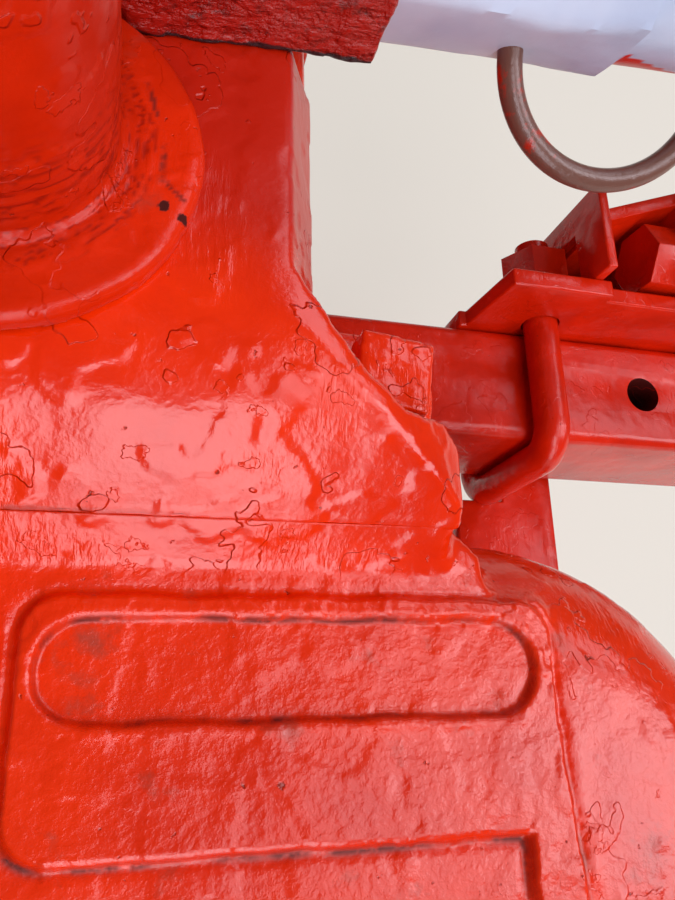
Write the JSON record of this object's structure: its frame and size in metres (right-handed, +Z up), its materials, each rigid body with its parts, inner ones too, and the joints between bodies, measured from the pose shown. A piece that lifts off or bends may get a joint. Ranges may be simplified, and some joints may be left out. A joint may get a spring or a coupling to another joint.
{
  "type": "tractor gearbox housing with toolbar",
  "caption": "Cast tractor gearbox and rear axle centre housing with a gear lever tower, a cross tube, a clamped side toolbar and turning drive, input and power take-off shafts.",
  "frame": {"origin": "on the floor under the gear lever tower's centre plane, the middle of the flat bottom face", "axes": "+X is the side that carries the toolbar, +Y points to the front flange and the engine, +Z is up"},
  "size_m": [0.536, 0.468, 0.617],
  "materials": {
    "case_paint": "gloss brush paint",
    "rough_plate": "rough cut face, brush paint",
    "pale_sheet": "satin",
    "pipe_brown": "satin",
    "bare_steel": "satin",
    "knob_black": "gloss"
  },
  "bodies": {
    "housing": {"case": "case_paint", "sump": "case_paint", "number_pad": "case_paint", "plain_pad": "case_paint", "lever_cover": "case_paint", "lever_tower": "case_paint", "tower_cap": "case_paint", "gear_lever": "bare_steel", "knob": "knob_black", "thick_plate": "rough_plate", "tube_block": "case_paint", "cross_tube": "case_paint", "sleeves_near": "pale_sheet", "sleeves_far": "pale_sheet", "bent_pipe": "pipe_brown", "toolbar": "case_paint", "bar_mount": "case_paint", "bar_mount_bolts": "case_paint", "clamp_plate": "case_paint", "clamp_web": "case_paint", "rear_plate": "case_paint", "big_bolt": "case_paint", "u_bolt": "case_paint", "u_bolt_nuts": "case_paint", "strap": "case_paint", "strap_bolts": "case_paint", "ear_bolts": "case_paint", "sump_bolts": "case_paint", "right_trumpet": "case_paint", "left_trumpet": "case_paint", "input_cover": "case_paint", "pto_cover": "case_paint", "fill_plug": "bare_steel", "drain_plug": "bare_steel"},
    "right_axle_end": {"right_drive": "bare_steel"},
    "left_axle_end": {"left_drive": "bare_steel"},
    "input": {"input_shaft": "bare_steel"},
    "power_take_off": {"pto_shaft": "bare_steel"}
  },
  "joints": [
    {"name": "right_drive_spin", "type": "hinge", "parent": "housing", "child": "right_axle_end", "pos_m": [0.21, -0.09, 0.1], "axis": [1, 0, 0], "continuous": true},
    {"name": "left_drive_spin", "type": "hinge", "parent": "housing", "child": "left_axle_end", "pos_m": [-0.21, -0.09, 0.1], "axis": [1, 0, 0], "continuous": true},
    {"name": "input_spin", "type": "hinge", "parent": "housing", "child": "input", "pos_m": [0, 0.16, 0.15], "axis": [0, 1, 0], "continuous": true},
    {"name": "pto_spin", "type": "hinge", "parent": "housing", "child": "power_take_off", "pos_m": [0, -0.148, 0.19], "axis": [0, 1, 0], "continuous": true}
  ]
}
